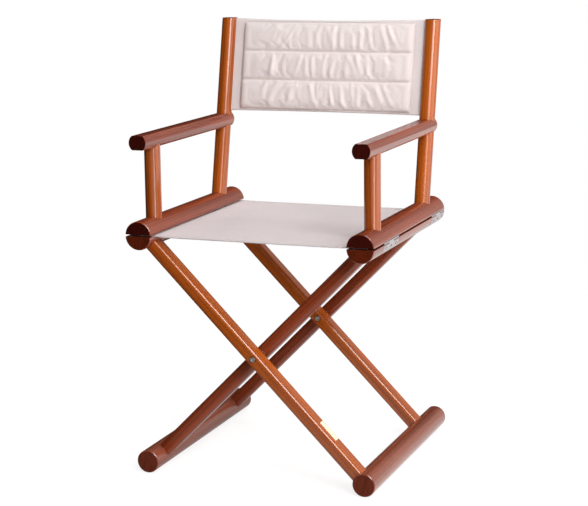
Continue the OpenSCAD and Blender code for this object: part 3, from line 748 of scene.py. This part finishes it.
def simulate_pad(x, up, rise):
    """Cloth simulation of the panel: a closed skin whose rim, seams and back are pinned, blown up by pressure, with 4%
    spare cloth so that it puckers along the seams. It returns how each front point moved, 3.5 mm at most."""
    rows, cols = x.shape
    front = on_back(x, up, pad_out(rise))
    rear = on_back(x, up, np.full_like(x, 0.0012))
    n = rows * cols
    top, edge = sheet_faces(rows, cols)
    mesh = bpy.data.meshes.new("pad_skin")
    mesh.from_pydata(np.concatenate([front.reshape(-1, 3), rear.reshape(-1, 3)]).tolist(), [],
                     np.concatenate([top, top[:, ::-1] + n, edge]).tolist())
    skin = add_object("pad_skin", mesh)
    held = np.ones((rows, cols), bool)
    held[rise > 0.12] = False
    for seam in (1, 2):
        held[round(seam * (rows - 1) / PAD_CH)] = True
    pins = skin.vertex_groups.new(name="held")
    pins.add([int(k) for k in np.flatnonzero(held.ravel())] + list(range(n, 2 * n)), 1.0, "REPLACE")
    cloth = skin.modifiers.new("cloth", "CLOTH")
    for name, value in {
            "quality": 6, "mass": 0.25, "tension_stiffness": 18, "compression_stiffness": 18, "shear_stiffness": 6,
            "bending_stiffness": 0.6, "air_damping": 4, "shrink_min": -0.04, "use_pressure": True,
            "uniform_pressure_force": 4.0, "vertex_group_mass": "held"}.items():
        setattr(cloth.settings, name, value)
    cloth.settings.effector_weights.gravity = 0.0
    cloth.point_cache.frame_start, cloth.point_cache.frame_end = 1, FRAMES
    scene = bpy.context.scene
    for step in range(1, FRAMES + 1):
        scene.frame_set(step)
    found = skin.evaluated_get(bpy.context.evaluated_depsgraph_get())
    co = np.empty(len(found.data.vertices) * 3)
    found.data.vertices.foreach_get("co", co)
    moved = co.reshape(-1, 3)[:n].reshape(rows, cols, 3) - front
    scene.frame_set(1)
    bpy.data.objects.remove(skin, do_unlink=True)
    size = np.linalg.norm(moved, axis=2)
    return moved * np.minimum(1, 0.0035 / np.maximum(size, 1e-9))[..., None]


def spread(values, rows, cols):
    """A coarse grid of vectors spread over a finer grid, with eased steps along the columns, then the rows."""
    across = np.linspace(0, values.shape[1] - 1, cols)
    down = np.linspace(0, values.shape[0] - 1, rows)
    j = np.minimum(across.astype(int), values.shape[1] - 2)
    i = np.minimum(down.astype(int), values.shape[0] - 2)
    a, b = smooth(0, 1, across - j)[None, :, None], smooth(0, 1, down - i)[:, None, None]
    wide = values[:, j] * (1 - a) + values[:, j + 1] * a
    return wide[i] * (1 - b) + wide[i + 1] * b


pad_x, pad_up, pad_rise = pad_shape()
pad_front = on_back(pad_x, pad_up, pad_out(pad_rise))
swell = spread(simulate_pad(*pad_shape(61, 101)), *pad_x.shape)
pad_front = pad_front + 0.5 * swell * smooth(PAD_W / 2, PAD_W / 2 - 0.05, np.abs(pad_x))[..., None]
pad_front = pad_front + FORWARD * (creases(pad_x, pad_up, 5) * smooth(0.10, 0.5, pad_rise))[..., None]
pad_rear = on_back(pad_x, pad_up, np.full_like(pad_x, SHEET_T))
pad_thick = np.einsum("ijk,k->ij", pad_front - pad_rear, FORWARD)
pad_uv = np.stack([pad_x, pad_up], 2)
pad = solid_sheet("back_pad_cover", pad_front, np.broadcast_to(FORWARD, pad_front.shape), pad_thick, pad_uv, PADDING)
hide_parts("back_pad")
fold_back(pad)

OUTSIDE = 0.0025                     # the outer stitching runs this far outside the panel
flat_up = np.broadcast_to(FORWARD, pad_front.shape)
pad_lines = []
for seam in (1, 2):
    row = round(seam * (pad_x.shape[0] - 1) / PAD_CH)
    pad_lines.append(line_on(pad_front, flat_up, np.full(pad_x.shape[1] - 4, row), np.arange(2, pad_x.shape[1] - 2)))


def back_line(xs, ups):
    """A stitched line on the plain canvas beside the panel."""
    return on_back(xs, ups, 0.0010), np.broadcast_to(FORWARD, (len(xs), 3))


low, high = PAD_HIGH - PAD_H - OUTSIDE, PAD_HIGH + OUTSIDE
side = PAD_W / 2 + OUTSIDE
for level in (high, low):
    pad_lines.append(back_line(np.linspace(-side, side, 60), np.full(60, level)))
for end in (-side, side):
    pad_lines.append(back_line(np.full(40, end), np.linspace(low, high, 40)))
pad_thread = stitches("back_stitching", pad_lines, THREAD)
fold_back(pad_thread)

# ---- floor, light and camera ----

STRIP_AZIMUTH = math.radians(44)       # a tall narrow window, mirrored in the varnish as one line down each bar
STRIP_WAY = (math.sin(STRIP_AZIMUTH), -math.cos(STRIP_AZIMUTH), 0)
STRIP_SIDE = (math.cos(STRIP_AZIMUTH), math.sin(STRIP_AZIMUTH), 0)


def floor():
    """A wide round floor. To the camera it is white with the chair's shadow; to light it is a mid grey; in the varnish
    it is pale on the right, with the foot of the narrow window."""
    angle = np.linspace(0, 2 * math.pi, 96, endpoint=False)
    mesh = bpy.data.meshes.new("studio_floor")
    ring = np.stack([6 * np.cos(angle), 6 * np.sin(angle), 0 * angle], 1)
    mesh.from_pydata(ring.tolist(), [], [list(range(96))])
    ground = add_object("studio_floor", mesh)
    material = bpy.data.materials.new("studio_floor")
    t = empty_tree(material)
    path = t.node("ShaderNodeLightPath").outputs
    spot = t.node("ShaderNodeTexCoord").outputs["Object"]
    grey = t.node("ShaderNodeBsdfDiffuse", {"Color": (0.60, 0.59, 0.58, 1)}).outputs[0]
    soft = t.node("ShaderNodeBsdfDiffuse", {"Color": (0.27, 0.26, 0.26, 1)}).outputs[0]
    glow = t.node("ShaderNodeEmission", {"Color": (1, 1, 1, 1), "Strength": 0.81}).outputs[0]
    lit = t.node("ShaderNodeAddShader", {0: soft, 1: glow}).outputs[0]
    white = t.node("ShaderNodeEmission", {"Color": (1, 1, 1, 1), "Strength": 1.0}).outputs[0]
    far = t.math("MULTIPLY", t.math("SUBTRACT", t.vector("LENGTH", spot), 0.9), 1.2, clamp=True)
    shown = t.node("ShaderNodeMixShader", {0: far, 1: lit, 2: white}).outputs[0]
    right = t.vector("DOT_PRODUCT", spot, (1, 0, 0))
    rightward = t.math("MULTIPLY_ADD", right, 2.2, 0.9, clamp=True)
    far_right = t.math("MULTIPLY_ADD", right, 0.6, -0.1, clamp=True)
    aside = t.math("ABSOLUTE", t.vector("DOT_PRODUCT", spot, STRIP_SIDE))
    strip = t.math("SUBTRACT", 1.0, t.math("DIVIDE", aside, 0.62))
    ahead = t.math("MULTIPLY_ADD", t.vector("DOT_PRODUCT", spot, STRIP_WAY), 1.0, -0.6, clamp=True)
    strip = t.math("MULTIPLY", t.math("MAXIMUM", strip, 0.0), ahead)
    shine = t.math("MULTIPLY_ADD", far_right, 0.7, t.math("MULTIPLY_ADD", rightward, 1.05, 0.02))
    shine = t.math("MULTIPLY_ADD", strip, 12.0, shine)
    mirrored = t.node("ShaderNodeEmission", {"Color": (1, 0.99, 0.985, 1), "Strength": shine}).outputs[0]
    unseen = t.node("ShaderNodeMixShader", {0: path["Is Glossy Ray"], 1: grey, 2: mirrored}).outputs[0]
    surface = t.node("ShaderNodeMixShader", {0: path["Is Camera Ray"], 1: unseen, 2: shown}).outputs[0]
    t.node("ShaderNodeOutputMaterial", {"Surface": surface})
    mesh.materials.append(material)
    # The floor stays under the feet as the chair folds, by following the height of the right floor rail.
    mark = add_object("foot_height", None)
    mark.location = box_mid("floor_rail_right")
    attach(mark, "leg_frame_a")
    ground.location.z = -mark.location.z
    follow = ground.constraints.new("COPY_LOCATION")
    follow.target = mark
    follow.use_x = follow.use_y = False
    follow.use_offset = True


def world():
    """White to the camera. As light it is a soft room, brighter to the right; in the varnish it shows as one broad pale
    screen on the right, a dark room on the left and the narrow window."""
    scene_world = bpy.data.worlds.new("studio")
    bpy.context.scene.world = scene_world
    t = empty_tree(scene_world)
    path = t.node("ShaderNodeLightPath")
    way = t.node("ShaderNodeTexCoord").outputs["Generated"]
    side = t.vector("DOT_PRODUCT", way, tuple(Vector((0.92, 0.25, 0.12)).normalized()))
    side = t.math("MULTIPLY_ADD", side, 0.5, 0.5, clamp=True)
    diffuse = t.math("MULTIPLY_ADD", t.math("POWER", side, 3.0), 0.66, 0.17)
    rightward = t.math("MULTIPLY_ADD", t.vector("DOT_PRODUCT", way, (1, 0, 0)), 1.6, 0.15, clamp=True)
    aside = t.math("ABSOLUTE", t.vector("DOT_PRODUCT", way, STRIP_SIDE))
    strip = t.math("SUBTRACT", 1.0, t.math("MULTIPLY", aside, 5.0))
    ahead = t.math("MULTIPLY", t.vector("DOT_PRODUCT", way, STRIP_WAY), 3.0, clamp=True)
    strip = t.math("MULTIPLY", t.math("MAXIMUM", strip, 0.0), ahead)
    shine = t.math("MULTIPLY_ADD", strip, 9.0, t.math("MULTIPLY_ADD", rightward, 0.95, 0.02))
    level = t.node("ShaderNodeMix", {0: path.outputs["Is Glossy Ray"], 2: diffuse, 3: shine}).outputs[0]
    room = t.node("ShaderNodeBackground", {"Color": (1.0, 0.985, 0.97, 1), "Strength": level}).outputs[0]
    white = t.node("ShaderNodeBackground", {"Color": (1, 1, 1, 1), "Strength": 1.0}).outputs[0]
    t.node("ShaderNodeOutputWorld", {"Surface": t.node("ShaderNodeMixShader", {
        0: path.outputs["Is Camera Ray"], 1: room, 2: white}).outputs[0]})


def lamp(name, azimuth, elevation, distance, size, power, mirrored=True):
    """A square soft light that faces the chair, placed by its direction from the chair in degrees. One that is not
    mirrored gives no shine on the varnish."""
    light = bpy.data.lights.new(name, "AREA")
    light.shape, light.size, light.energy = "SQUARE", size, power
    made = add_object(name, light)
    made.visible_glossy = mirrored
    a, e = math.radians(azimuth), math.radians(elevation)
    away = Vector((math.sin(a) * math.cos(e), -math.cos(a) * math.cos(e), math.sin(e)))
    made.location = Vector((0, 0, 0.45)) + away * distance
    made.rotation_mode = "QUATERNION"
    made.rotation_quaternion = away.to_track_quat("Z", "Y")


def camera():
    """The camera, aimed from the front and to the right at seat height, with a slight roll."""
    a, e, roll = math.radians(21.09), math.radians(10.88), math.radians(-0.71)
    back = Vector((math.sin(a) * math.cos(e), -math.cos(a) * math.cos(e), math.sin(e)))
    right = Vector((math.cos(a), math.sin(a), 0))
    up = back.cross(right)
    turned_right = right * math.cos(roll) + up * math.sin(roll)
    turned_up = up * math.cos(roll) - right * math.sin(roll)
    data = bpy.data.cameras.new("camera")
    data.sensor_width, data.lens = 36.0, 102.79591837
    data.shift_x, data.shift_y = 0.00493, -0.00782
    data.clip_start, data.clip_end = 0.05, 60
    made = add_object("camera", data)
    spot = Vector((0, -0.016, 0.430)) + back * 3.407
    made.matrix_world = Matrix((
        (turned_right.x, turned_up.x, back.x, spot.x), (turned_right.y, turned_up.y, back.y, spot.y),
        (turned_right.z, turned_up.z, back.z, spot.z), (0, 0, 0, 1)))
    bpy.context.scene.camera = made


floor()
world()
lamp("key", 43, 33, 3.0, 1.35, 60)
lamp("side", 95, 12, 2.9, 2.4, 36)
lamp("top", 50, 74, 2.6, 1.6, 14, mirrored=False)
lamp("back", 192, 34, 3.0, 2.6, 48, mirrored=False)
camera()
bpy.context.scene.view_settings.view_transform = "Standard"
